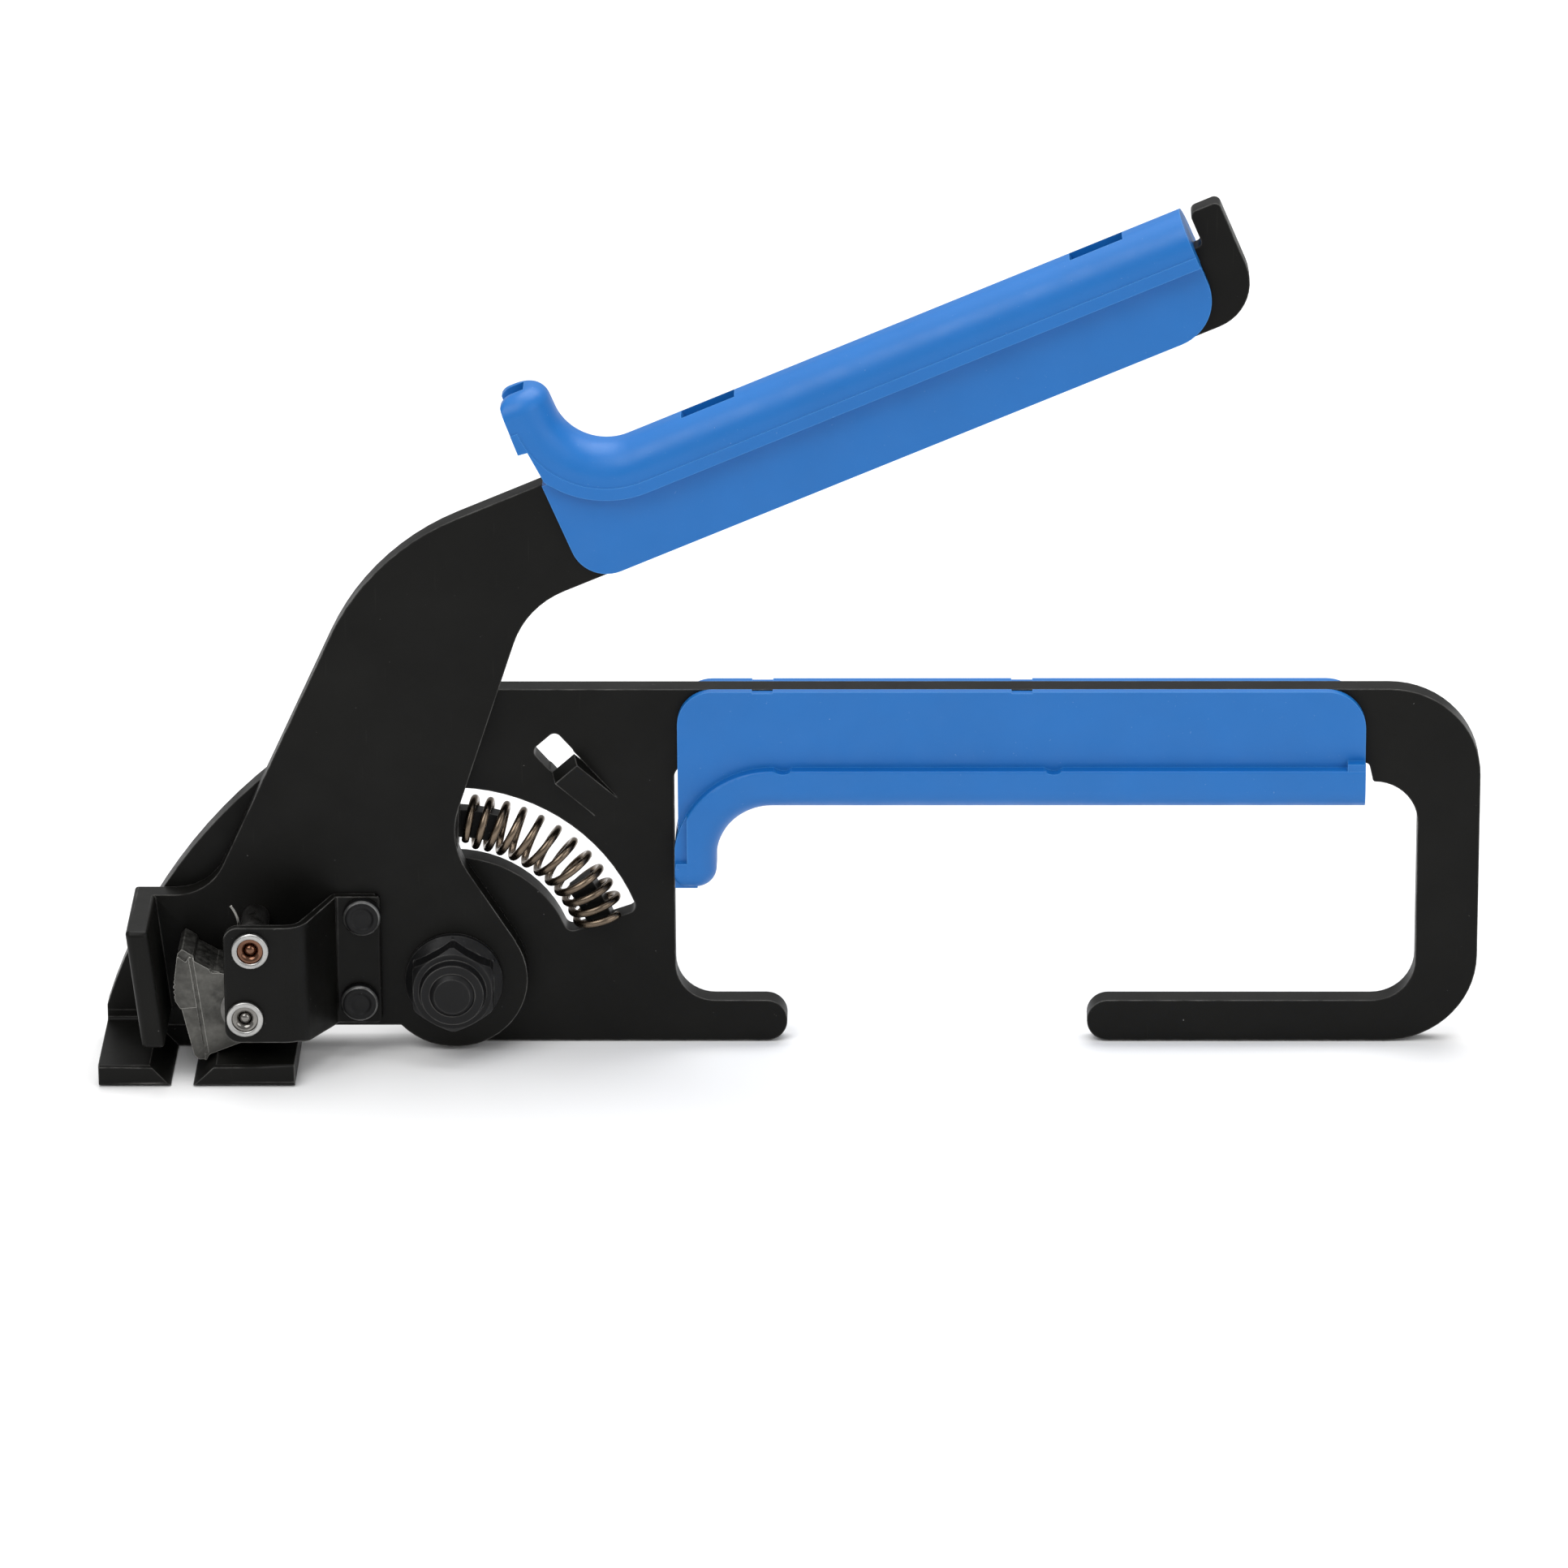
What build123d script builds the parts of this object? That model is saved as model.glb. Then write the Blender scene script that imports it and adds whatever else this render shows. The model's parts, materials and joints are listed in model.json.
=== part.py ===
"""Hand strapping tensioner: a bent steel frame, a lever that turns on one bolt, and a toothed pawl.

Every shape is drawn in pivot coordinates: the bolt axis is the Y axis, X runs along the lower
handle toward the guard, Z is up, and y = 0 is the front face of the frame plate. place() then
moves each piece to the origin below the middle of the tool's own box.
"""

import os
from math import atan2, cos, radians, sin

from build123d import *

# ---- driving dimensions, mm -------------------------------------------------------------------
PLATE = 4.3  # both plates are the same sheet
PLATE_GAP = 0.3  # between frame plate and lever plate
PAWL_WIRE = 0.3  # half of the torsion spring's wire

BASE_Z = -13.7  # underside of the foot and of both hooks
TOP_Z = 53.1  # upper edge of the lower handle
FOOT_X = (-62.5, -27.7)  # left and right end of the foot flange
FOOT_REACH = 22.0  # how far the foot stands in front of the frame plate
FOOT_T = 4.0
HEEL_Z = -7.8  # lower edge of the frame plate between foot and bolt
GUARD_X = 182.4  # outer edge of the finger guard
ARM_TIP_X = 112.9  # free end of the long lower arm
HOOK_TIP_X = 59.3  # free end of the short hook

BOSS_R = 13.1  # lever boss round the bolt
WINDOW_R = (21.4, 34.6)  # arc window, inner and outer radius
WINDOW_ANGLE = (19.0, 99.0)
SPRING_R = 27.6  # centre line of the bent return spring
COIL_R = 5.0
WIRE = 1.4

BOLT_R = 4.0
BUSH_R = 5.5
RUN = 0.05  # radial running clearance

HANDLE_ANGLE = 23.0  # lever handle above the horizontal
HANDLE_V = (59.2, 78.9)  # lower and upper edge of the handle, measured across it
HANDLE_END = 180.5  # far end of the handle, measured along it
GRIP_WALL = 1.6

ANCHOR = (-35.1, 11.7)  # upper pin
PAWL_PIN = (-36.3, -1.2)  # lower pin, the axle of the pawl
PIN_R = 1.8
PIN_HEAD_R = 3.3
RIVET_HEAD_R = 3.4
SLEEVE_R = 2.5
PAWL_BUSH_R = 2.8
JAW_REACH = 23.1  # front edge of the jaw tab
BRACKET_T = 1.6
BEND_R = 4.8  # outer radius of the bracket's main bend
BRACKET_FACE = 20.7  # outer face of the bracket panel, in front of the frame plate
BOLT_HEAD = 5.3
HEAD_HALF = 6.5  # half across the flats of the bolt head
STUD_END = -13.6  # free end of the bolt
NUT_HALF = 7.1  # half across the flats of the nut
NUT_FLANGE_R = 8.7
STOP_HINGE = (27.35, 30.9)  # where the stop tab leaves the plate
STOP_ANGLE = 131.5  # direction from that line to the free end
STOP_LENGTH = 10.4
STOP_WIDTH = 5.3
STOP_RISE = 4.5
STOP_SQUARE = 5.7
STOP_HOLE = 16.7  # far edge of the hole, from the hinge line
SPRING_TAB_ANGLE = 87.6
LEVER_FLOOR = -8.9
RIVETS = ((-16.1, 12.6), (-16.8, -3.6))
RIVET_R = 2.0
FLANGE_X = (-21.0, -12.9)
PANEL_X = (-39.9, -27.0)
TEETH = 5
TOOTH_PITCH = 1.0
CROWN_HALF = 6.3
LIP_HEIGHT = 2.2  # the band along the skirt of the upper grip

# ---- derived places ---------------------------------------------------------------------------
LEVER_BACK = -PLATE_GAP
LEVER_FRONT = LEVER_BACK - PLATE
LEVER_MID = (LEVER_FRONT + LEVER_BACK) / 2
FRAME_MID = PLATE / 2
PANEL_IN = -BRACKET_FACE + BRACKET_T
BACK_Y = PLATE + BOLT_HEAD
PAWL_BACK = LEVER_FRONT - 0.6
PAWL_FRONT = PAWL_BACK - 11.0
ORIGIN = ((FOOT_X[0] + GUARD_X) / 2, (BACK_Y - JAW_REACH) / 2, BASE_Z)


def place(shape):
    """Move a piece from pivot coordinates to the part's own frame."""
    return Pos(-ORIGIN[0], -ORIGIN[1], -ORIGIN[2]) * shape


def slab(sketch, front, back):
    """A sketch drawn in X and Z, made solid between two depths."""
    return extrude(Plane.XZ.offset(-front) * sketch, amount=front - back)


def shape(*corners):
    """A closed outline. Each corner is (x, z) or (x, z, corner radius)."""
    sharp = 0.05
    points = [(c[0], c[1]) for c in corners]
    radii = [c[2] if len(c) > 2 else sharp for c in corners]
    return make_face(FilletPolyline(*points, radius=radii, close=True))


def rod(centre, radius, front, back):
    """A round bar parallel to the bolt."""
    return slab(Pos(*centre) * Circle(radius), front, back)


def ring(centre, outer, inner, front, back):
    return rod(centre, outer, front, back) - rod(centre, inner, front - 1, back + 1)


def polar(radius, angle):
    return (radius * cos(radians(angle)), radius * sin(radians(angle)))


def sector(inner, outer, start, end):
    """A piece of a ring round the bolt, between two angles."""
    mid = (start + end) / 2
    edges = [
        Line(polar(inner, start), polar(outer, start)),
        ThreePointArc(polar(outer, start), polar(outer, mid), polar(outer, end)),
        Line(polar(outer, end), polar(inner, end)),
        ThreePointArc(polar(inner, end), polar(inner, mid), polar(inner, start)),
    ]
    return make_face(edges)


def along(u, v):
    """A point given along and across the lever handle, in pivot X and Z."""
    a = radians(HANDLE_ANGLE)
    return (u * cos(a) - v * sin(a), u * sin(a) + v * cos(a))


def soften(solid, edges, radius):
    """Round edges one group at a time, keeping the solid where a group can't be rounded."""
    try:
        return fillet(edges, radius)
    except Exception:
        print("left sharp", len(edges), radius)
        return solid


def edges_on(solid, y, length=0.0):
    """The edges that lie in one depth plane."""
    return [
        e
        for e in solid.edges()
        if abs(e.bounding_box().min.Y - y) < 1e-3
        and abs(e.bounding_box().max.Y - y) < 1e-3
        and e.length > length
    ]


# ---- frame ------------------------------------------------------------------------------------


def stop_tab():
    """The lanced tab that the lever meets at the end of its stroke."""
    slope = atan2(STOP_RISE, STOP_LENGTH)
    back_end = (STOP_LENGTH + 1.0, -STOP_RISE + PLATE - 0.4)
    back_root = (PLATE * sin(slope) / (1 + cos(slope)), PLATE)
    profile = Polyline(
        (-0.5, 0), (0, 0), (STOP_LENGTH, -STOP_RISE), back_end, back_root, (-0.5, PLATE), close=True
    )
    ramp = extrude(make_face(profile), amount=STOP_WIDTH / 2, both=True)
    return Pos(STOP_HINGE[0], 0, STOP_HINGE[1]) * Rot(0, -STOP_ANGLE, 0) * ramp


def stop_hole():
    """The slot that the tab was cut from, with a squarish hole in front of its free end."""
    centre = Pos(*STOP_HINGE) * Rot(0, 0, STOP_ANGLE)
    slot = Pos(STOP_HOLE / 2 - 1, 0) * RectangleRounded(STOP_HOLE - 2, STOP_WIDTH + 0.1, 1.0)
    square = Pos(STOP_HOLE - STOP_SQUARE / 2, 0) * RectangleRounded(STOP_SQUARE, STOP_SQUARE, 1.3)
    return centre * (slot + square)


def frame_outline():
    arc_start = (FOOT_X[0], -6.8)
    arc_mid = (-47.2, 22.3)
    arc_end = (-6.2, TOP_Z)
    back = make_face(
        [
            ThreePointArc(arc_start, arc_mid, arc_end),
            Line(arc_end, (39.4, TOP_Z)),
            Line((39.4, TOP_Z), (39.4, HEEL_Z)),
            Line((39.4, HEEL_Z), (FOOT_X[0], HEEL_Z)),
            Line((FOOT_X[0], HEEL_Z), arc_start),
        ]
    )
    outer = shape(
        (3.0, TOP_Z),
        (GUARD_X, TOP_Z, 16.3),
        (GUARD_X, BASE_Z, 16.3),
        (3.0, BASE_Z, 5.0),
    )
    window = shape(
        (39.4, 39.2, 3.0),
        (162.6, 39.2, 0.8),
        (163.4, 35.7, 0.5),
        (171.4, 35.7, 7.8),
        (171.4, -6.0, 7.7),
        (39.4, -6.0, 7.0),
    )
    gap = shape((HOOK_TIP_X, 0), (ARM_TIP_X, 0), (ARM_TIP_X, -20), (HOOK_TIP_X, -20))
    heel = shape((-5.0, HEEL_Z), (3.2, BASE_Z), (12.0, BASE_Z), (12.0, 0), (-5.0, 0))
    guard = outer - window - gap
    tips = [v for v in guard.vertices() if v.Y < 0 and min(abs(v.X - ARM_TIP_X), abs(v.X - HOOK_TIP_X)) < 0.2]
    return back + fillet(tips, 3.8) + heel


def make_frame_plate():
    plate = slab(frame_outline(), 0, PLATE)
    foot_top = BASE_Z + FOOT_T
    width = FOOT_X[1] - FOOT_X[0]
    middle = (FOOT_X[0] + FOOT_X[1]) / 2
    side = Plane(origin=(middle, 0, 0), x_dir=(0, 1, 0), z_dir=(1, 0, 0))
    profile = shape(
        (-FOOT_REACH, foot_top, 0.5),
        (0, foot_top, 0.6),
        (0, HEEL_Z),
        (PLATE, HEEL_Z),
        (PLATE, BASE_Z, PLATE - 0.4),
        (-FOOT_REACH, BASE_Z, 0.8),
    )
    foot = extrude(side * profile, amount=width / 2, both=True)
    slot = shape(
        (-53.4, foot_top + 0.5), (-53.4, foot_top), (-49.7, BASE_Z), (-49.7, BASE_Z - 1),
        (-45.8, BASE_Z - 1), (-45.8, BASE_Z), (-41.6, foot_top), (-41.6, foot_top + 0.5),
    )
    plate += foot - slab(slot, -FOOT_REACH - 1, -2.5)
    arc_window = sector(*WINDOW_R, *WINDOW_ANGLE)
    arc_window = fillet(arc_window.vertices(), 1.5)
    tongue = sector(SPRING_R - 2.3, SPRING_R + 2.3, WINDOW_ANGLE[0] - 1, 36.0)
    plate -= slab(arc_window - tongue, -1, PLATE + 1)
    plate -= slab(stop_hole(), -1, PLATE + 1)
    plate += stop_tab()
    plate -= rod((0, 0), BOLT_R + RUN, -1, PLATE + 1)
    return plate


def make_pivot_bolt():
    shank = rod((0, 0), BOLT_R, STUD_END, PLATE + 0.1)
    shank = chamfer(edges_on(shank, STUD_END), 0.8)
    corner = HEAD_HALF * 2 / 3**0.5
    head = slab(RegularPolygon(HEAD_HALF, 6, major_radius=False), PLATE, BACK_Y)
    cap = rod((0, 0), corner, PLATE, BACK_Y - 1.4)
    cap += Pos(0, BACK_Y - 0.7, 0) * Rot(-90, 0, 0) * Cone(corner, HEAD_HALF - 0.4, 1.4)
    return shank + (head & cap)


def make_pivot_nut():
    """Flange nut with a conical locking collar."""
    seat = -(PLATE + PLATE_GAP + 0.15)
    rim = rod((0, 0), NUT_FLANGE_R, seat - 1.2, seat)
    cone = Pos(0, seat - 1.9, 0) * Rot(90, 0, 0) * Cone(NUT_FLANGE_R, NUT_FLANGE_R - 1.4, 1.4)
    hexagon = slab(Rot(0, 0, 30) * RegularPolygon(NUT_HALF, 6, major_radius=False), seat - 6.4, seat)
    bevel = rod((0, 0), 8.0, seat - 5.4, seat)
    bevel += Pos(0, seat - 6.4, 0) * Rot(90, 0, 0) * Cone(8.0, 6.1, 2.0)
    collar = Pos(0, seat - 7.1, 0) * Rot(90, 0, 0) * Cone(6.1, 5.6, 2.2)
    nut = rim + cone + (hexagon & bevel) + collar
    for angle in (30, 90, 150, 270):
        nut += rod(polar(7.9, angle), 0.4, seat - 1.75, seat - 0.5)
    return nut - rod((0, 0), BOLT_R, seat - 20, seat + 1)


def make_return_spring():
    """The bent return spring as the tube that its coils fill."""
    first = WINDOW_ANGLE[0] + 0.6
    x, z = polar(SPRING_R, first)
    start = Plane(
        origin=(x, FRAME_MID, z), x_dir=(0, 1, 0), z_dir=(-sin(radians(first)), 0, cos(radians(first)))
    )
    wall = Circle(COIL_R) - Circle(COIL_R - WIRE)
    return revolve(start * wall, Axis((0, 0, 0), (0, -1, 0)), SPRING_TAB_ANGLE - 1.3 - first)


# ---- lever ------------------------------------------------------------------------------------


def lever_outline():
    low, high = HANDLE_V
    body = shape(
        (-57.0, 15.9, 0.8),
        (-43.4, 15.9, 9.6),
        (-13.7, 79.9, 44.0),
        along(54.0, high) + (0.4,),
        along(54.0, 74.0) + (0.8,),
        along(175.0, 74.0) + (1.0,),
        along(175.0, 80.3) + (1.2,),
        along(HANDLE_END, 80.3) + (1.2,),
        along(HANDLE_END, low) + (8.5,),
        (13.85, 70.2, 16.0),
        (-0.8, 25.9, 14.0),
        (11.1, 7.1, 0.1),
        (8.0, LEVER_FLOOR, 0.1),
        (-51.3, LEVER_FLOOR, 1.5),
        (-54.3, -6.2, 1.0),
    )
    return body + Circle(BOSS_R)


def make_lever_plate():
    plate = slab(lever_outline(), LEVER_FRONT, LEVER_BACK)
    jaw = shape((-57.0, 15.9, 0.7), (-53.0, 15.9, 0.7), (-50.5, -6.2, 0.7), (-54.5, -6.2, 0.7))
    jaw = slab(jaw, -JAW_REACH, LEVER_BACK)
    jaw = soften(jaw, edges_on(jaw, -JAW_REACH), 1.1)
    plate += jaw
    tab = sector(SPRING_R - 4.4, SPRING_R + 4.4, SPRING_TAB_ANGLE, SPRING_TAB_ANGLE + 6)
    plate += slab(tab, LEVER_FRONT + 1, FRAME_MID + 1.6)
    prong = sector(SPRING_R - 2.6, SPRING_R + 2.6, 73.0, SPRING_TAB_ANGLE + 1)
    plate += slab(fillet(prong.vertices(), 0.6), FRAME_MID - 1.5, FRAME_MID + 1.5)
    plate -= rod((0, 0), BUSH_R + RUN, -20, 20)
    for centre in (ANCHOR, PAWL_PIN):
        plate -= rod(centre, PIN_R + RUN, -20, 20)
    for centre in RIVETS:
        plate -= rod(centre, RIVET_R + RUN, -20, 20)
    return plate


def make_pivot_bushing():
    return ring((0, 0), BUSH_R, BOLT_R + RUN, -(PLATE + PLATE_GAP + 0.15), 0)


def make_pivot_shim():
    return ring((0, 0), 8.0, BUSH_R + RUN, -0.2, 0)


# ---- bracket, pins and rivets -----------------------------------------------------------------


def make_pawl_bracket():
    t = BRACKET_T
    inner = LEVER_FRONT - t
    profile = shape(
        (FLANGE_X[1], LEVER_FRONT, 0.1),
        (FLANGE_X[0] - 0.4, LEVER_FRONT, 1.2),
        (PANEL_X[1] - 0.2, PANEL_IN, BEND_R - BRACKET_T),
        (PANEL_X[0], PANEL_IN, 0.1),
        (PANEL_X[0], PANEL_IN - t, 0.4),
        (PANEL_X[1] + 0.9, PANEL_IN - t, BEND_R),
        (FLANGE_X[0] + 0.3, inner, 0.4),
        (FLANGE_X[1], inner, 0.4),
    )
    strap = Pos(0, 0, -10) * extrude(profile, amount=30)
    side = shape(
        (FLANGE_X[1], -7.8, 1.0), (FLANGE_X[1], 16.2, 1.0), (FLANGE_X[0], 16.2, 2.0),
        (PANEL_X[1], 15.8, 2.0), (PANEL_X[0], 15.8, 2.6), (PANEL_X[0], -5.9, 2.6),
        (PANEL_X[1], -5.9, 2.0), (FLANGE_X[0], -7.8, 2.0),
    )
    bracket = strap & slab(side, -40, 0)
    for centre in (ANCHOR, PAWL_PIN):
        bracket -= rod(centre, PIN_R + RUN, -40, -15)
    for centre in RIVETS:
        bracket -= rod(centre, RIVET_R + RUN, -10, 0)
    return bracket


def make_bracket_rivet(centre):
    """Flat-headed rivet with a shallow dent, its tail flush with the back of the lever."""
    seat = LEVER_FRONT - BRACKET_T
    head = rod(centre, RIVET_HEAD_R, seat - 1.9, seat)
    head = fillet(edges_on(head, seat - 1.9), 0.5)
    head -= rod(centre, 1.1, seat - 3, seat - 1.6)
    return head + rod(centre, RIVET_R, seat - 0.5, LEVER_BACK - 0.1)


def make_tubular_pin(centre):
    """Pin with a ring-shaped head: a cup in the head and a blind hole in the shank."""
    seat = -BRACKET_FACE
    head = rod(centre, PIN_HEAD_R, seat - 1.1, seat)
    head = fillet(edges_on(head, seat - 1.1), 0.4)
    pin = head + rod(centre, PIN_R, seat - 0.3, LEVER_BACK - 0.1)
    cup = Pos(centre[0], seat - 0.9, centre[1]) * Rot(90, 0, 0) * Cone(1.5, 2.3, 1.4)
    bore = rod(centre, 1.25, seat - 2, seat + 1.2)
    return pin - cup - bore


def make_anchor_sleeve():
    return ring(ANCHOR, SLEEVE_R, PIN_R + RUN, PANEL_IN, LEVER_FRONT)


def make_pawl_bushing():
    return ring(PAWL_PIN, PAWL_BUSH_R, PIN_R + RUN, PANEL_IN, LEVER_FRONT)


# ---- pawl -------------------------------------------------------------------------------------


def pawl_outline():
    body = shape(
        (-47.6, 9.9, 0.3),
        (-45.6, 8.6, 0.3),
        (-45.4, 7.8, 0.3),
        (-41.9, 5.8, 1.0),
        (-35.0, 4.2, 0.5),
        (-32.0, -4.8, 0.5),
        (-36.3, -7.2, 0.8),
        (-43.1, -9.9, 0.4),
        (-43.7, -11.0, 0.4),
        (-45.0, -11.1, 0.6),
        (-45.9, -10.2, 0.6),
        (-47.9, -1.5, 0.3),
        (-49.0, 0.2, 0.4),
        (-49.3, 2.7, 3.0),
        (-48.9, 5.3, 0.6),
        (-48.4, 9.0, 0.3),
    )
    return body + Pos(*PAWL_PIN) * Circle(5.9)


def tooth_notches():
    """Notches across the nose, one between each pair of teeth."""
    notches = None
    for i in range(TEETH):
        z = 0.4 + i * TOOTH_PITCH
        notch = Pos(-49.35, z) * Rot(0, 0, 45) * Rectangle(0.62, 0.62)
        notches = notch if notches is None else notches + notch
    return notches


def make_gripper_pawl():
    pawl = slab(pawl_outline(), PAWL_FRONT, PAWL_BACK)
    pawl -= slab(tooth_notches(), PAWL_FRONT - 1, PAWL_BACK + 1)
    heel = shape((-48.2, -1.25), (-45.2, -1.0), (-43.9, -10.6), (-44.2, -12), (-48, -12))
    pawl -= slab(heel, PAWL_FRONT - 1, PAWL_FRONT + 0.5)
    top = shape((-49.5, 10.5), (-49.5, 8.9), (-48.1, 8.5), (-46.9, 7.6), (-46.3, 8.6), (-45.0, 8.2),
                (-43.2, 7.0), (-42.5, 5.6), (-41, 5.5), (-41, 10.5))
    pawl -= slab(top, PAWL_FRONT - 1, PAWL_FRONT + 0.5)
    groove = shape((-46.4, 8.3), (-45.7, 8.6), (-43.3, -9.6), (-44.0, -9.9))
    pawl -= slab(groove, PAWL_FRONT - 1, PAWL_FRONT + 0.5)
    return pawl - rod(PAWL_PIN, PAWL_BUSH_R + RUN, -40, 0)


def make_pawl_washer(front, back):
    return ring(PAWL_PIN, 4.6, PAWL_BUSH_R + RUN, front, back)


def wire_run(start, end, radius):
    """A straight piece of wire with a round end."""
    length = (Vector(*end) - Vector(*start)).length
    plane = Plane(origin=start, z_dir=Vector(*end) - Vector(*start))
    straight = plane * Cylinder(radius, length, align=(Align.CENTER, Align.CENTER, Align.MIN))
    return straight + Pos(*end) * Sphere(1.15 * radius)


def make_pawl_spring():
    """Torsion spring, simplified to a plain ring on the lower pin and one bent leg past the sleeve."""
    outer = PAWL_BUSH_R + 0.15 + 2 * PAWL_WIRE
    front = PAWL_FRONT - 0.8
    ring = rod(PAWL_PIN, outer, front - 6 * PAWL_WIRE, front) - rod(
        PAWL_PIN, PAWL_BUSH_R + 0.15, front - 6 * PAWL_WIRE - 1, front + 1
    )
    y = front - 3 * PAWL_WIRE
    foot = (PAWL_PIN[0] - outer + PAWL_WIRE, y, PAWL_PIN[1])
    knee = (ANCHOR[0] - SLEEVE_R - 0.35, y, ANCHOR[1])
    tip = (ANCHOR[0] - SLEEVE_R - 1.3, y, ANCHOR[1] + 7.7)
    return ring + wire_run(foot, knee, PAWL_WIRE) + wire_run(knee, tip, PAWL_WIRE)


# ---- grips ------------------------------------------------------------------------------------


def crown_bar(length, bend, height, half, horn, corner, lip=0.0):
    """The thick rounded back of a grip: a straight run, a quarter bend and a short horn.

    The bend is round the Y axis, the run goes along +X below it and the horn goes up on its left.
    The lip is a slightly wider band along the skirt.
    """
    step = bend + height - LIP_HEIGHT
    section = shape(
        (bend, -half, corner), (bend, half, corner),
        (bend + height, half, 0.5), (bend + height, -half, 0.5),
    )
    wide = half + lip
    band = shape((step, wide), (bend + height, wide), (bend + height, -wide), (step, -wide))
    run_plane = Plane(origin=(0, 0, 0), x_dir=(0, 0, -1), z_dir=(1, 0, 0))
    horn_plane = Plane(origin=(0, 0, 0), x_dir=(-1, 0, 0), z_dir=(0, 0, 1))
    run = extrude(run_plane * section, amount=length)
    turn = revolve(run_plane * section, Axis((0, 0, 0), (0, 1, 0)), 90)
    tip = extrude(horn_plane * section, amount=horn)
    rim = [e for e in tip.edges() if (e @ 0.5).Z > horn - 0.01 and (e @ 0.5).X > -bend - height + 1.5]
    bar = run + turn + soften(tip, rim, 3.4)
    if lip:
        bar += extrude(run_plane * band, amount=length)
        bar += revolve(run_plane * band, Axis((0, 0, 0), (0, 1, 0)), 90)
    return bar


def make_upper_grip():
    """Moulded channel over the handle, with a round crown and a finger hump at the pivot end."""
    top, skirt, end = 80.7, 71.5, 173.4
    bend_u, bend_v = 69.0, 90.3
    crown = crown_bar(end - bend_u, bend_v - top, top - skirt, CROWN_HALF, 96.2 - bend_v, 5.6, 0.2)
    crown = Pos(bend_u, LEVER_MID, bend_v) * crown
    left = shape((40, 70), (53.3, 70), (53.1, 80.5), (52.6, 86.4), (50.9, 86.6), (51.4, 99), (40, 99))
    crown -= slab(left, -20, 20)
    panel = shape((52.0, HANDLE_V[0], 6.5), (end - 0.1, HANDLE_V[0], 8.5), (end - 0.1, 79.0), (52.0, 79.0))
    half = PLATE / 2 + GRIP_WALL
    grip = crown + slab(panel, LEVER_MID - half, LEVER_MID + half)
    for start, stop, floor in ((79.2, 89.3, 76.0), (152.7, 162.6, 76.0), (49.0, 55.9, 94.0)):
        cut = shape((start, floor), (stop, floor), (stop, 99.0), (start, 99.0))
        grip -= slab(cut, LEVER_FRONT, LEVER_BACK)
    return Rot(0, -HANDLE_ANGLE, 0) * grip - slab(lever_outline(), LEVER_FRONT, LEVER_BACK)


def make_lower_grip():
    """Moulded channel under the lower handle, with a hump behind the first finger."""
    low, ridge, left, end = 31.4, 39.0, 39.5, 161.9
    bend_x, bend_z = 56.8, 21.5
    half = 6.0
    crown = crown_bar(end - bend_x, low - bend_z, ridge - low, half, bend_z - 16.2, 4.0)
    crown = Pos(bend_x, FRAME_MID, bend_z) * Rot(180, 0, 0) * crown
    stem = shape((left, 16.2), (left + 4, 16.2), (left + 4, 24), (left, 24))
    crown += slab(stem, FRAME_MID - half + 2, FRAME_MID + half - 2)
    crown -= slab(shape((20, 0), (left, 0), (left, 60), (20, 60)), -20, 20)
    for x in (58.8, 106.7):
        crown -= rod((x, ridge + 1.9), 2.5, -20, 20)
    panel = shape(
        (40.1, 24.0), (40.1, TOP_Z, 6.2), (end, TOP_Z, 6.9), (end, 36.0), (57.0, 36.0), (46.0, 30.0)
    )
    for x in (55.2, 101.1):
        panel -= Pos(x, TOP_Z) * Rectangle(3.7, 0.5)
    grip = crown + slab(panel, -GRIP_WALL, PLATE + GRIP_WALL)
    stop = shape((end - 3.2, ridge - 1), (end, ridge - 1), (end, ridge + 1.2), (end - 3.2, ridge + 1.2))
    grip += slab(stop, FRAME_MID - half + 0.2, FRAME_MID + half - 0.2)
    step = shape((left - 1, bend_z), (41.7, bend_z), (41.7, 30.5), (left - 1, 30.5))
    grip -= slab(step, FRAME_MID - half - 1, FRAME_MID - half + 1.0)
    return grip - slab(frame_outline(), 0, PLATE)


# ---- write the parts --------------------------------------------------------------------------
PIECES = {
    "frame_plate": make_frame_plate,
    "lower_grip": make_lower_grip,
    "pivot_bolt": make_pivot_bolt,
    "pivot_bushing": make_pivot_bushing,
    "pivot_shim": make_pivot_shim,
    "pivot_nut": make_pivot_nut,
    "return_spring": make_return_spring,
    "lever_plate": make_lever_plate,
    "upper_grip": make_upper_grip,
    "pawl_bracket": make_pawl_bracket,
    "bracket_rivet_upper": lambda: make_bracket_rivet(RIVETS[0]),
    "bracket_rivet_lower": lambda: make_bracket_rivet(RIVETS[1]),
    "anchor_pin": lambda: make_tubular_pin(ANCHOR),
    "anchor_sleeve": make_anchor_sleeve,
    "pawl_pin": lambda: make_tubular_pin(PAWL_PIN),
    "pawl_bushing": make_pawl_bushing,
    "pawl_spring": make_pawl_spring,
    "gripper_pawl": make_gripper_pawl,
    "pawl_washer_front": lambda: make_pawl_washer(PAWL_FRONT - 0.5, PAWL_FRONT - 0.05),
    "pawl_washer_rear": lambda: make_pawl_washer(PAWL_BACK + 0.05, LEVER_FRONT),
}

os.makedirs("parts", exist_ok=True)
for name, make in PIECES.items():
    export_step(place(make()), f"parts/{name}.step")
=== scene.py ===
import json
from math import cos, pi, radians, sin

import bmesh
import bpy
from mathutils import Matrix, Vector


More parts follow.
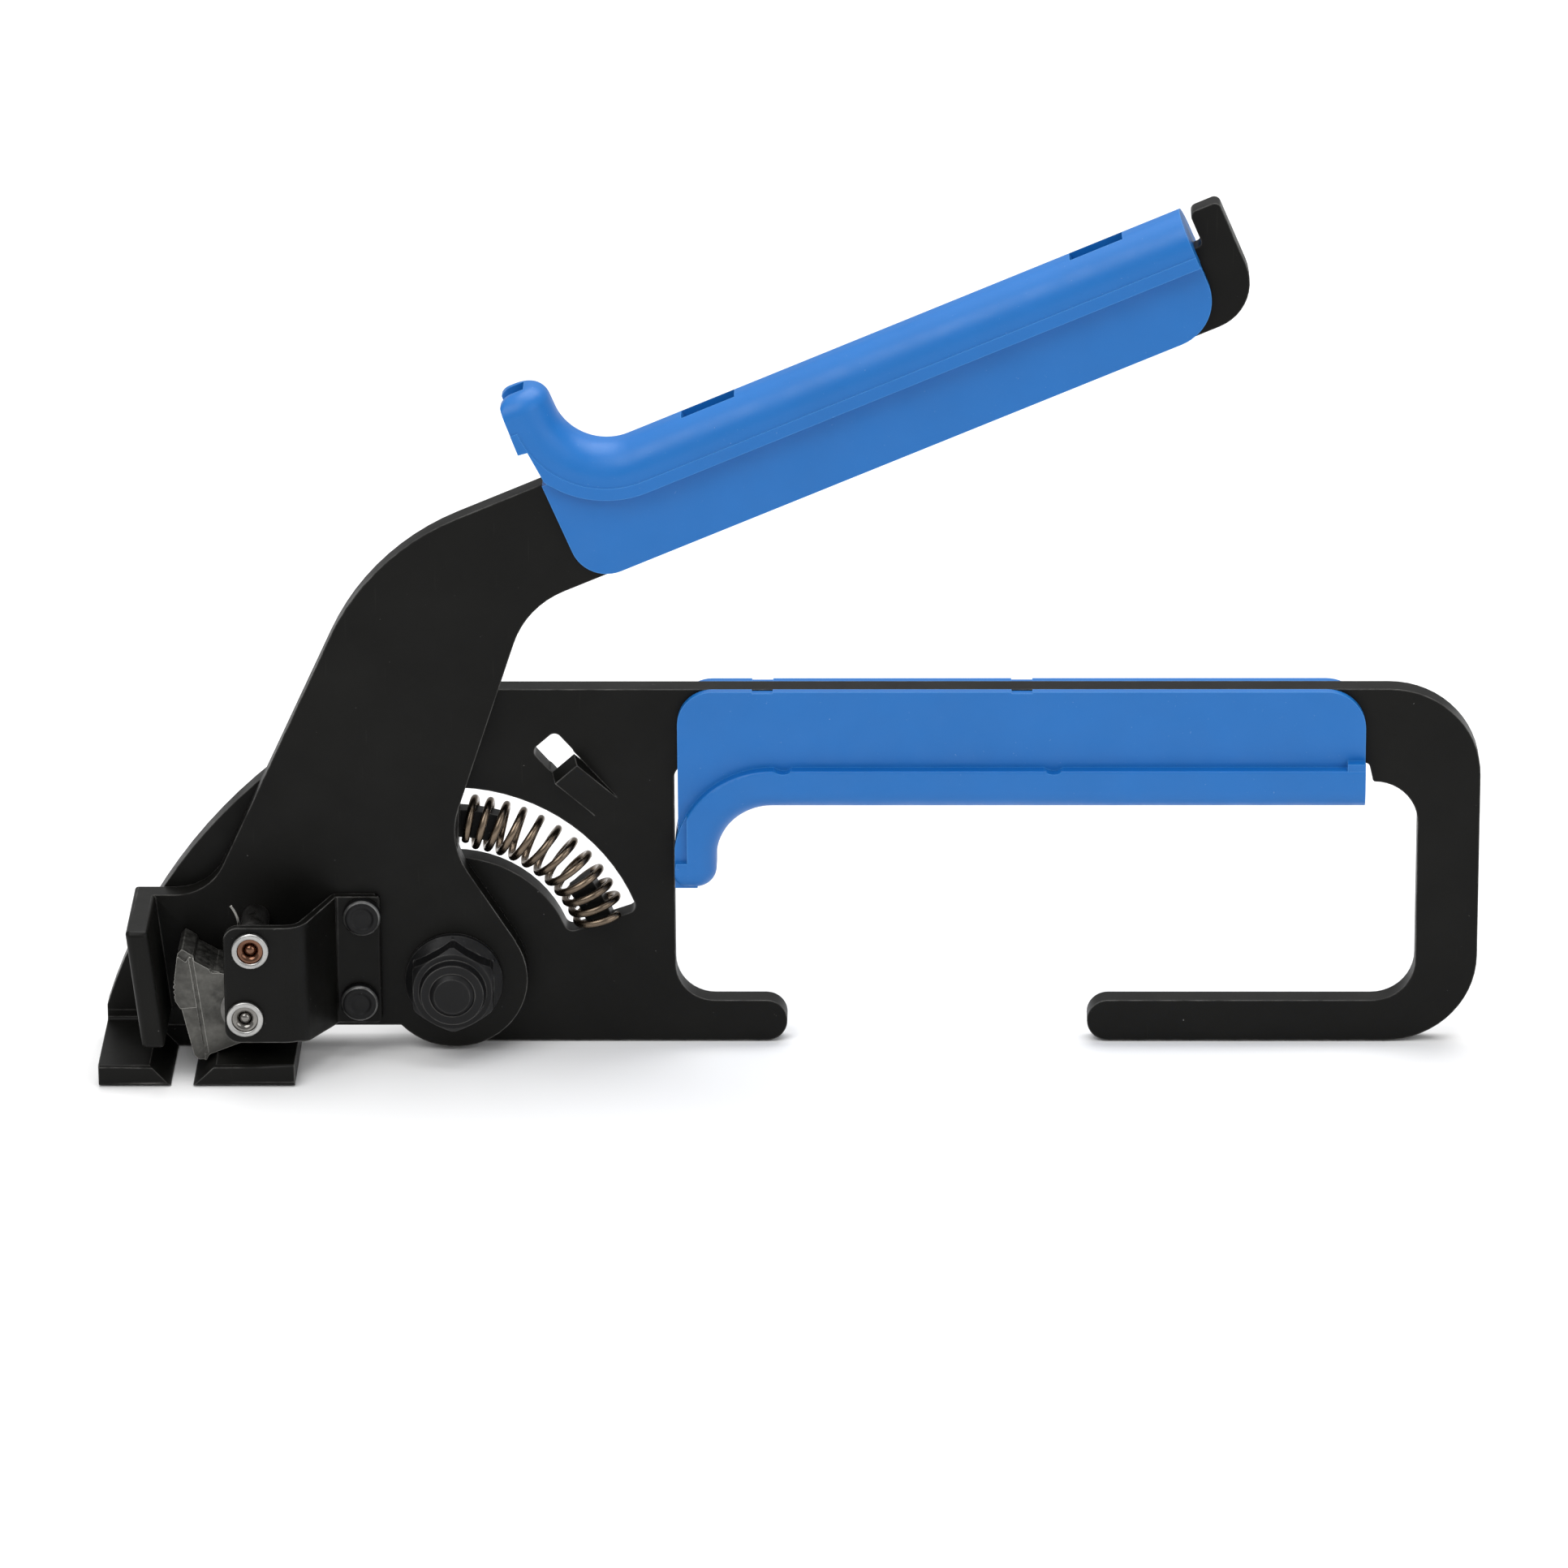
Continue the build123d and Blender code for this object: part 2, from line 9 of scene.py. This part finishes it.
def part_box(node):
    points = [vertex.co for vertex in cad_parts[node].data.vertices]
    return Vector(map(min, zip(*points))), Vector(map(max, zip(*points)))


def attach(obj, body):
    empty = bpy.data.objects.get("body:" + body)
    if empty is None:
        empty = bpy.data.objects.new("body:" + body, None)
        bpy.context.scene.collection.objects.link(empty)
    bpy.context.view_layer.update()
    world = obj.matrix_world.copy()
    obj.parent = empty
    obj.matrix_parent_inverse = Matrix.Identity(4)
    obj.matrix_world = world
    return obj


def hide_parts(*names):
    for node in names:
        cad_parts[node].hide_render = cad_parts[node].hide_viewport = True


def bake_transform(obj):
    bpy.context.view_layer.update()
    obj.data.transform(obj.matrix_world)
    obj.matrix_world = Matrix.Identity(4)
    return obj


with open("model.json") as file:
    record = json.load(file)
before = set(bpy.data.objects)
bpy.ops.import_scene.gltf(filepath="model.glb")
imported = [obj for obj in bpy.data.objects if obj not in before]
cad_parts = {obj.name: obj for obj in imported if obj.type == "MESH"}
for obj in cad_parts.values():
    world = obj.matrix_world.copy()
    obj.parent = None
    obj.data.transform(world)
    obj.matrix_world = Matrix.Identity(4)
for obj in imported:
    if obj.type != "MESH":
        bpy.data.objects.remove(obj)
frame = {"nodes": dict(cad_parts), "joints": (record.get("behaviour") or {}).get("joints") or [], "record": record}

MM = 0.001
nodes = frame["nodes"]
joints = {j["name"]: j for j in frame["joints"]}
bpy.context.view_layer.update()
pivot = Vector(joints["lever_hinge"]["pos_m"])
pawl_axis = Vector(joints["pawl_hinge"]["pos_m"])
body_of = {n: b for b, members in frame["record"]["behaviour"]["bodies"].items() for n in members}


def add(name, data):
    """A new object in the scene."""
    obj = bpy.data.objects.new(name, data)
    bpy.context.scene.collection.objects.link(obj)
    return obj


# ---- materials --------------------------------------------------------------------------------
class Mix:
    """A node material with short ways to add noise, ramps and bumps."""

    def __init__(self, name, color, metallic, roughness):
        self.mat = bpy.data.materials.new(name)
        self.mat.use_nodes = True
        self.tree = self.mat.node_tree
        self.shader = self.tree.nodes["Principled BSDF"]
        self.shader.inputs["Base Color"].default_value = (*color, 1)
        self.shader.inputs["Metallic"].default_value = metallic
        self.shader.inputs["Roughness"].default_value = roughness
        self.place = self.tree.nodes.new("ShaderNodeTexCoord").outputs["Object"]
        self.normal = None

    def link(self, a, b):
        self.tree.links.new(a, b)

    def noise(self, scale, detail=4.0, stretch=(1, 1, 1), rough=0.55, turn=0.0):
        """Noise fixed to the piece, squeezed along each axis by stretch and turned about Y."""
        place = self.tree.nodes.new("ShaderNodeMapping")
        place.inputs["Scale"].default_value = stretch
        place.inputs["Rotation"].default_value = (0, turn, 0)
        self.link(self.place, place.inputs["Vector"])
        n = self.tree.nodes.new("ShaderNodeTexNoise")
        n.inputs["Scale"].default_value = scale
        n.inputs["Detail"].default_value = detail
        n.inputs["Roughness"].default_value = rough
        self.link(place.outputs["Vector"], n.inputs["Vector"])
        return n.outputs["Fac"]

    def ramp(self, source, stops):
        """A color ramp, with each stop a place and a color or a grey."""
        r = self.tree.nodes.new("ShaderNodeValToRGB")
        elements = r.color_ramp.elements
        for i, (at, value) in enumerate(stops):
            e = elements[i] if i < 2 else elements.new(at)
            e.position = at
            e.color = (*value, 1) if hasattr(value, "__len__") else (value, value, value, 1)
        self.link(source, r.inputs["Fac"])
        return r.outputs["Color"]

    def blend(self, amount, a, b):
        """From a to b by amount. Each one is a socket, a color or a number."""
        m = self.tree.nodes.new("ShaderNodeMix")
        m.data_type = "RGBA"
        m.blend_type = "MIX"
        for socket, value in ((m.inputs["Factor"], amount), (m.inputs["A"], a), (m.inputs["B"], b)):
            target = socket
            if socket.name != "Factor":
                target = [s for s in m.inputs if s.name == socket.name and s.type == "RGBA"][0]
            if isinstance(value, bpy.types.NodeSocket):
                self.link(value, target)
            elif hasattr(value, "__len__"):
                target.default_value = (*value, 1)
            else:
                target.default_value = value
        return [s for s in m.outputs if s.type == "RGBA"][0]

    def color(self, source):
        self.link(source, self.shader.inputs["Base Color"])

    def rough(self, source):
        self.link(source, self.shader.inputs["Roughness"])

    def edges(self, width):
        """1 along convex and concave edges, 0 on the flat, from how far a rounded normal leans.

        The ramp works on the cosine between the rounded and the true normal."""
        soft = self.tree.nodes.new("ShaderNodeBevel")
        soft.samples = 4
        soft.inputs["Radius"].default_value = width
        true = self.tree.nodes.new("ShaderNodeNewGeometry")
        dot = self.tree.nodes.new("ShaderNodeVectorMath")
        dot.operation = "DOT_PRODUCT"
        self.link(soft.outputs["Normal"], dot.inputs[0])
        self.link(true.outputs["Normal"], dot.inputs[1])
        full, none = 0.80, 0.985
        return self.ramp(dot.outputs["Value"], [(full, 1.0), (none, 0.0)])

    def bump(self, source, height, strength=1.0):
        """One more layer of bumps, of a height in metres, over the layers before it."""
        b = self.tree.nodes.new("ShaderNodeBump")
        b.inputs["Distance"].default_value = height
        b.inputs["Strength"].default_value = strength
        self.link(source, b.inputs["Height"])
        if self.normal:
            self.link(self.normal, b.inputs["Normal"])
        self.normal = b.outputs["Normal"]
        self.link(self.normal, self.shader.inputs["Normal"])


def black_steel(name, base, lift, sheen=0.13):
    """Black oxide: soft cloudy sheen, long fine scratches and a few bright nicks."""
    m = Mix(name, base, 0.0, 0.42)
    m.shader.inputs["Specular IOR Level"].default_value = sheen
    cloud = m.noise(45, 5)
    dark = tuple(c * 0.72 for c in base)
    light = tuple(c * lift for c in base)
    tone = m.ramp(cloud, [(0.3, dark), (0.72, light)])
    nick = m.ramp(m.noise(900, 3, rough=0.7), [(0.725, 0.0), (0.77, 1.0)])
    scratch = m.ramp(m.noise(160, 2, (14, 1, 0.5), turn=0.5), [(0.70, 0.0), (0.74, 0.65)])
    bare, worn_and_highlit = (0.16, 0.155, 0.15), (0.15, 0.147, 0.14)
    tone = m.blend(nick, tone, bare)
    tone = m.blend(scratch, tone, tuple(c * 2.6 for c in base))
    # Lighter along every edge, convex and concave: partly scuffed steel, partly a painted highlight.
    edge_wear_and_highlight = m.blend(m.edges(0.0004), (0, 0, 0), m.ramp(m.noise(300, 4), [(0.35, 0.25), (0.65, 1.0)]))
    m.color(m.blend(edge_wear_and_highlight, tone, worn_and_highlit))
    m.rough(m.ramp(m.noise(120, 6), [(0.25, 0.34), (0.75, 0.52)]))
    m.bump(m.noise(2400, 3), 0.00002, 0.35)
    m.bump(m.noise(220, 3), 0.00008, 0.25)
    return m.mat


def scuffed_highlit_edge(name, base, bright):
    """The narrow band along a plate's edge, where the black is thinned by use, made lighter still as a painted
    highlight.
    """
    m = Mix(name, base, 0.75, 0.38)
    m.color(m.ramp(m.noise(260, 5, rough=0.65), [(0.32, base), (0.68, bright)]))
    m.rough(m.ramp(m.noise(500, 3), [(0.3, 0.3), (0.7, 0.5)]))
    m.bump(m.noise(1500, 3), 0.00004, 0.4)
    return m.mat


def moulding(name, base, grain, depth):
    """Moulded plastic with a grained skin."""
    m = Mix(name, base, 0.0, 0.45)
    tone = m.ramp(
        m.noise(60, 5), [(0.3, tuple(c * 0.96 for c in base)), (0.7, tuple(min(1, c * 1.04) for c in base))]
    )
    dust = m.ramp(m.noise(1300, 3, rough=0.75), [(0.70, 0.0), (0.78, 0.5)])
    # The lighter blue along the edges is partly scuffing and partly a painted highlight.
    dusty, rubbed_and_highlit = (0.28, 0.42, 0.62), (0.05, 0.235, 0.56)
    tone = m.blend(dust, tone, dusty)
    m.color(m.blend(m.edges(0.0003), tone, rubbed_and_highlit))
    m.rough(m.ramp(m.noise(180, 4), [(0.3, 0.36), (0.7, 0.5)]))
    m.bump(m.noise(grain, 2), depth, 0.6)
    m.shader.inputs["Specular IOR Level"].default_value = 0.4
    m.shader.inputs["Subsurface Weight"].default_value = 0.04
    m.shader.inputs["Subsurface Radius"].default_value = (0.001, 0.001, 0.001)
    return m.mat


def bare_metal(name, base, other, roughness, grain=500, height=0.00003, rubbed_and_highlit=None):
    """Bare metal in two cloudy tones, with a fine grain, and lighter along its edges if asked, partly scuffed and
    partly a painted highlight.
    """
    m = Mix(name, base, 1.0, roughness)
    tone = m.ramp(m.noise(150, 5, rough=0.65), [(0.3, base), (0.72, other)])
    m.color(m.blend(m.edges(0.0002), tone, rubbed_and_highlit) if rubbed_and_highlit else tone)
    m.rough(m.ramp(m.noise(grain, 4), [(0.3, roughness * 0.75), (0.7, min(1, roughness * 1.35))]))
    m.bump(m.noise(grain * 2, 3), height, 0.5)
    return m.mat


BLACK = (0.0034, 0.0033, 0.0028)
black = black_steel("black steel", BLACK, 1.5)
# Painted top light: a lighter black for a plate's faces that don't look down, standing for the light from above.
top_lit_side = black_steel("black steel, painted top light", (0.026, 0.0257, 0.0245), 1.6, 0.5)
# Edge bands: scuffed steel, lightened further as a painted highlight.
edge = scuffed_highlit_edge("worn steel edge", (0.045, 0.044, 0.042), (0.27, 0.262, 0.25))
fastener = black_steel("black fastener", (0.004, 0.004, 0.0043), 1.4, 0.2)
fastener_edge = scuffed_highlit_edge("fastener edge", (0.045, 0.045, 0.045), (0.22, 0.22, 0.215))
blue = moulding("blue moulding, smooth", (0.004, 0.128, 0.42), 1500, 0.00002)
blue_grain = moulding("blue moulding, grained", (0.012, 0.155, 0.46), 1150, 0.00010)
# The grips' edge bands: scuffed, and lightened as a painted highlight.
blue_rub_and_highlight = moulding("blue moulding, edge", (0.07, 0.27, 0.60), 1500, 0.00002)
zinc = bare_metal("bright zinc", (0.30, 0.30, 0.295), (0.48, 0.475, 0.46), 0.3)
dark = bare_metal("oiled steel", (0.12, 0.117, 0.113), (0.22, 0.215, 0.205), 0.32, 500, 0.00001)
# The pawl's lighter edges: partly scuffed metal, partly a painted highlight.
sinter = bare_metal(
    "sintered steel", (0.070, 0.069, 0.064), (0.135, 0.132, 0.122), 0.46, 900, 0.00006,
    rubbed_and_highlit=(0.5, 0.49, 0.46),
)
# The pawl's edge bands: scuffed metal, lightened further as a painted highlight.
sinter_edge = bare_metal(
    "sintered steel, rubbed", (0.42, 0.41, 0.39), (0.68, 0.67, 0.65), 0.3, 900, 0.00003
)
wire = bare_metal("tempered wire", (0.10, 0.078, 0.058), (0.23, 0.175, 0.125), 0.25, 400, 0.000006)
wire_thin = bare_metal("thin wire", (0.14, 0.135, 0.125), (0.25, 0.245, 0.23), 0.3, 400)


# ---- CAD pieces with edge bands -----------------------------------------------------------------
MERGE = 2e-6  # corners closer than this, in metres, are one corner
FLAT = radians(0.4)  # faces that differ by less are merged into one
SHARP = radians(28)  # an edge that turns by more gets a band
SHORTEST = 0.15 * MM  # and only if it is longer than this
CREASE = radians(44)  # an edge that turns by more is shaded as a crease
# The third place holds the grained crown on grips and the painted top light on plates.
PLAIN, BAND, GRAIN_AND_TOP_LIGHT = 0, 1, 2  # material places on a refined piece


def refined(node, body, look, rub, band, grain=None, grain_and_top_light_test=None):
    """A copy of a CAD piece with a narrow band, as wide as fits up to band mm, on sharp edges; the band is scuffed
    and lightened as a painted highlight. A third look, if given, goes on the faces the test picks: a grip's
    grained crown, a plate's faces with painted top light.
    """
    mesh = nodes[node].data.copy()
    bm = bmesh.new()
    bm.from_mesh(mesh)
    bmesh.ops.remove_doubles(bm, verts=bm.verts, dist=MERGE)
    bmesh.ops.dissolve_limit(bm, angle_limit=FLAT, verts=bm.verts, edges=bm.edges)
    for f in bm.faces:
        f.material_index = PLAIN
        f.smooth = True
    sharp = [
        e for e in bm.edges
        if len(e.link_faces) == 2 and e.calc_face_angle(0) > SHARP and e.calc_length() > SHORTEST
    ]
    if band:
        made = bmesh.ops.bevel(
            bm, geom=sharp, offset=band * MM, offset_type="OFFSET", segments=2, profile=0.5,
            affect="EDGES", clamp_overlap=True, material=-1, loop_slide=True,
        )
        for f in made["faces"]:
            f.material_index = BAND
            f.smooth = True
    if grain_and_top_light_test:
        for f in bm.faces:
            if f.material_index == PLAIN and grain_and_top_light_test(f):
                f.material_index = GRAIN_AND_TOP_LIGHT
    bm.to_mesh(mesh)
    bm.free()
    mesh.materials.clear()
    for m in (look, rub, grain or look):
        mesh.materials.append(m)
    mesh.set_sharp_from_angle(angle=CREASE)
    obj = add(node + "_look", mesh)
    normal = obj.modifiers.new("even shading", "WEIGHTED_NORMAL")
    normal.keep_sharp = True
    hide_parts(node)
    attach(obj, body)


def crown(face):
    """The faces of a grip between its two flat sides."""
    return abs(face.normal.y) < 0.93


def top_lit_faces(face):
    """The faces through a plate's thickness that don't look down, which take a painted top light."""
    return abs(face.normal.y) < 0.5 and face.normal.z > -0.2


# Each piece's look, the look of its edge bands (scuffed, with a painted highlight), and the width of a band in mm.
LOOKS = {
    "frame_plate": (black, edge, 0.3),
    "lever_plate": (black, edge, 0.3),
    "lower_grip": (blue, blue_rub_and_highlight, 0.25),
    "upper_grip": (blue, blue_rub_and_highlight, 0.25),
    "pivot_bolt": (fastener, fastener_edge, 0.2),
    "pivot_nut": (fastener, fastener_edge, 0.12),
    "pivot_bushing": (dark, dark, 0.0),
    "pivot_shim": (dark, dark, 0.0),
    "pawl_bracket": (black, edge, 0.3),
    "anchor_sleeve": (dark, dark, 0.0),
    "pawl_bushing": (dark, dark, 0.0),
    "pawl_washer_front": (dark, dark, 0.0),
    "pawl_washer_rear": (dark, dark, 0.0),
    "gripper_pawl": (sinter, sinter_edge, 0.1),
}
for name, (look, rub, band) in LOOKS.items():
    if name.endswith("grip"):
        refined(name, body_of[name], look, rub, band, grain=blue_grain, grain_and_top_light_test=crown)
    elif name.endswith("plate"):
        # On plates the faces that don't look down take the painted top light.
        refined(name, body_of[name], look, rub, band, grain=top_lit_side, grain_and_top_light_test=top_lit_faces)
    else:
        refined(name, body_of[name], look, rub, band)


# ---- turned pieces ------------------------------------------------------------------------------
def turned(node, body, centre, profile, looks, around=64):
    """A piece turned about a line parallel to the bolt. Each profile step is (radius, y, look)."""
    bm = bmesh.new()
    rings = []
    for radius, y, _ in profile:
        if radius == 0:
            rings.append([bm.verts.new((centre[0], y, centre[1]))])
            continue
        turn = [2 * pi * k / around for k in range(around)]
        rings.append(
            [bm.verts.new((centre[0] + radius * cos(t), y, centre[1] + radius * sin(t))) for t in turn]
        )
    for (a, b), (_, _, look) in zip(zip(rings, rings[1:]), profile[1:]):
        for k in range(around):
            n = (k + 1) % around
            corners = [a[k % len(a)], a[n % len(a)], b[n % len(b)], b[k % len(b)]]
            face = bm.faces.new(list(dict.fromkeys(corners)))
            face.material_index = look
            face.smooth = True
    bmesh.ops.recalc_face_normals(bm, faces=bm.faces)
    mesh = bpy.data.meshes.new(node + "_look")
    bm.to_mesh(mesh)
    bm.free()
    for m in looks:
        mesh.materials.append(m)
    mesh.set_sharp_from_angle(angle=radians(50))
    obj = add(node + "_look", mesh)
    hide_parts(node)
    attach(obj, body)


def round_piece(node):
    """Centre, front, back and radius of a round CAD piece that is parallel to the bolt."""
    low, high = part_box(node)
    centre = ((low.x + high.x) / 2, (low.z + high.z) / 2)
    return centre, low.y, high.y, (high.x - low.x) / 2


def quarter(steps, first=1):
    """The angles of a quarter circle in equal steps."""
    return [k / steps * pi / 2 for k in range(first, steps + 1)]


def cup_pin(node, look):
    """A pin with a polished cup turned into its visible end, and a small cone point in the cup. The cup's look is
    darker than the zinc ring, as painted shade.
    """
    centre, front, back, rim = round_piece(node)
    shank, chamfer = 1.8 * MM, 0.2 * MM
    head, rim_break, rounding = 1.0 * MM, 0.1 * MM, 0.35 * MM
    profile = [(0, back, 0), (shank - chamfer, back, 0), (shank, back - chamfer, 0)]
    profile += [(shank, front + head, 0), (rim - rim_break, front + head, 0)]
    profile += [(rim, front + 0.85 * MM, 0), (rim, front + rounding, 0)]
    profile += [(rim - rounding * (1 - cos(t)), front + rounding * (1 - sin(t)), 0) for t in quarter(6)]

    cup, lip, lip_break = 0.70 * rim, 0.18 * MM, 0.12 * MM
    bowl = cup - lip_break
    bowl_top, bowl_depth, cone_height = 0.5 * MM, 1.0 * MM, 0.9 * MM
    cone = 0.5 * bowl
    bottom = front + bowl_top + bowl_depth
    profile += [(cup + lip, front, 0), (cup, front + lip_break, 0), (bowl, front + bowl_top, 1)]
    for t in quarter(8):
        profile.append((bowl - cone * sin(t), bottom - bowl_depth * cos(t), 1))
    profile += [(cone * cos(t), bottom - cone_height * sin(t), 1) for t in quarter(6)]
    turned(node, "lever", centre, profile, (zinc, look))


def rivet(node):
    """A flat-topped rivet: rounded rim, shallow ring and a low button in the middle."""
    centre, front, back, rim = round_piece(node)
    shank, seat, chamfer = 1.9 * MM, front + 1.9 * MM, 0.1 * MM
    rim_width, rim_height = 1.0 * MM, 0.95 * MM
    profile = [(0, back, 0), (shank, back, 0), (shank, seat, 0)]
    profile += [(rim - chamfer, seat, 0), (rim, seat - chamfer, 0)]
    for k, t in enumerate(quarter(8, first=0)):
        # A painted highlight: the middle of the rounded rim takes the bright edge look, as a light ring.
        rubbed_and_highlit = 1 if 2 < k < 6 else 0
        profile.append((rim - rim_width * (1 - cos(t)), front + rim_height * (1 - sin(t)), rubbed_and_highlit))
    ring = ((2.1, 0.02), (1.9, 0.22), (1.55, 0.3))
    button = ((1.3, 0.24), (0.8, 0.18), (0, 0.17))
    for radius, depth in ring + button:
        profile.append((radius * MM, front + depth * MM, 0))
    turned(node, "lever", centre, profile, (fastener, fastener_edge))


# The cups are darker than the zinc ring: painted shade for the dark the polished hollow reflects; one cup is
# coppery.
shaded_copper_cup = bare_metal("coppery cup, polished, painted shade", (0.085, 0.043, 0.028), (0.24, 0.125, 0.08), 0.14)
shaded_steel_cup = bare_metal("steel cup, polished, painted shade", (0.13, 0.125, 0.115), (0.26, 0.25, 0.235), 0.14)
cup_pin("anchor_pin", shaded_copper_cup)
cup_pin("pawl_pin", shaded_steel_cup)
rivet("bracket_rivet_upper")
rivet("bracket_rivet_lower")


# ---- wire ---------------------------------------------------------------------------------------
def tube(name, points, radius, look, sides=10):
    """A round wire swept along a line of points, with closed ends."""
    bm = bmesh.new()
    rings = []
    side = None
    for i, p in enumerate(points):
        ahead = (points[min(i + 1, len(points) - 1)] - points[max(i - 1, 0)]).normalized()
        if side is None:
            side = ahead.orthogonal().normalized()
        side = (side - ahead * side.dot(ahead)).normalized()
        up = ahead.cross(side)
        turn = [2 * pi * k / sides for k in range(sides)]
        rings.append([bm.verts.new(p + (side * cos(t) + up * sin(t)) * radius) for t in turn])
    for a, b in zip(rings, rings[1:]):
        for k in range(sides):
            bm.faces.new((a[k], a[(k + 1) % sides], b[(k + 1) % sides], b[k]))
    bm.faces.new(rings[0])
    bm.faces.new(list(reversed(rings[-1])))
    bmesh.ops.recalc_face_normals(bm, faces=bm.faces)
    for f in bm.faces:
        f.smooth = len(f.verts) == 4
    mesh = bpy.data.meshes.new(name)
    bm.to_mesh(mesh)
    bm.free()
    mesh.materials.append(look)
    return add(name, mesh)


def arc_spring():
    """The return spring, wound round an arc about the bolt, with close coils at both ends."""
    low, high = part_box("return_spring")
    mid_y = (low.y + high.y) / 2
    arc, coil, half_wire = 27.6 * MM, 4.2 * MM, 0.7 * MM
    start, end, turns, steps = radians(19.8), radians(84.9), 11.25, 36
    crowding = 0.022  # how far the coils crowd toward both ends, as a share of the arc
    first = 0.6  # where round the coil the wire starts, in radians
    points = []
    count = int(turns * steps)
    for i in range(count + 1):
        t = i / count
        a = start + (end - start) * (t - crowding * sin(2 * pi * t))
        w = 2 * pi * turns * t + first
        r = arc + coil * cos(w)
        points.append(Vector((pivot.x + r * cos(a), mid_y - coil * sin(w), pivot.z + r * sin(a))))
    obj = tube("return_spring_coils", points, half_wire, wire, 12)
    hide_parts("return_spring")
    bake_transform(obj)


def torsion_spring():
    """The pawl's spring: turns on the lower pin, and a leg bent past the sleeve."""
    back_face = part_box("pawl_spring")[1].y
    half_wire, turns, steps = 0.3 * MM, 2.6, 28
    radius, length, end_angle = 3.25 * MM, 1.8 * MM, 0.4 * pi
    back = back_face - half_wire
    front = back_face - length + half_wire
    points = []
    count = int(turns * steps)
    for i in range(count + 1):
        t = i / count
        a = end_angle + 2 * pi * turns * (1 - t)
        y = front + (back - front) * t
        points.append(Vector((pawl_axis.x + radius * cos(a), y, pawl_axis.z + radius * sin(a))))
    coil = tube("torsion_coils", points, half_wire, wire_thin, 8)
    leg_y = back - 0.6 * MM
    foot, hip, knee, tip = [
        Vector((pawl_axis.x + x * MM, leg_y, pawl_axis.z + z * MM))
        for x, z in ((-3.25, 0), (-1.9, 12.0), (0.3, 16.9), (-2.3, 20.2))
    ]
    straight, bent = 6, 20
    line = [foot.lerp(hip, k / straight) for k in range(straight)]
    for k in range(bent + 1):
        t = k / bent
        line.append(hip * (1 - t) ** 2 + knee * 2 * t * (1 - t) + tip * t * t)
    leg = tube("torsion_leg", line, half_wire, wire_thin, 8)
    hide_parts("pawl_spring")
    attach(coil, "lever")
    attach(leg, "lever")


arc_spring()
torsion_spring()


# ---- floor, light and camera --------------------------------------------------------------------
def floor():
    """A pale floor, a hair below the foot so that the two don't share a surface."""
    width, drop = 8, 0.2 * MM
    bpy.ops.mesh.primitive_plane_add(size=width, location=(0, 0, -drop))
    plane = bpy.context.object
    m = Mix("pale floor", (0.86, 0.86, 0.86), 0.0, 0.75)
    plane.data.materials.append(m.mat)


def area(name, place, aim, size, power):
    """A square area light at a place, turned toward a point. Size in metres, power in watts."""
    data = bpy.data.lights.new(name, "AREA")
    data.energy = power
    data.size = size
    lamp = add(name, data)
    lamp.location = place
    lamp.rotation_mode = "QUATERNION"
    lamp.rotation_quaternion = (Vector(aim) - Vector(place)).to_track_quat("-Z", "Y")


floor()
area("key", (-0.55, -0.75, 1.1), (0, 0, 0.06), 0.9, 9)
area("fill", (0.95, -0.9, 0.6), (0, 0, 0.06), 0.8, 4)
area("top", (0.1, 0.35, 1.2), (0, 0, 0.05), 1.2, 16)
world = bpy.data.worlds.new("studio")
world.use_nodes = True
world.node_tree.nodes["Background"].inputs["Color"].default_value = (1.0, 1.0, 1.0, 1)
world.node_tree.nodes["Background"].inputs["Strength"].default_value = 0.5
bpy.context.scene.world = world
bpy.context.scene.view_settings.view_transform = "Standard"

# The camera's turn, tilt and roll, the point it looks at, and how far from it the camera stands.
yaw, rise, roll = radians(-0.94), radians(20.34), radians(-0.34)
look_at = Vector((-1.01, 6.75, 48.96)) * MM
distance = 1.728
ahead = Vector((sin(yaw) * cos(rise), cos(yaw) * cos(rise), -sin(rise)))
right = Vector((cos(yaw), -sin(yaw), 0))
up = right.cross(ahead)
right_rolled = right * cos(roll) + up * sin(roll)
up_rolled = up * cos(roll) - right * sin(roll)
lens = bpy.data.cameras.new("camera")
lens.lens = 223.6
lens.sensor_width = 36
lens.clip_start, lens.clip_end = 0.05, 50
camera = add("camera", lens)
turn = Matrix((right_rolled, up_rolled, -ahead)).transposed().to_4x4()
camera.matrix_world = Matrix.Translation(look_at - ahead * distance) @ turn
bpy.context.scene.camera = camera
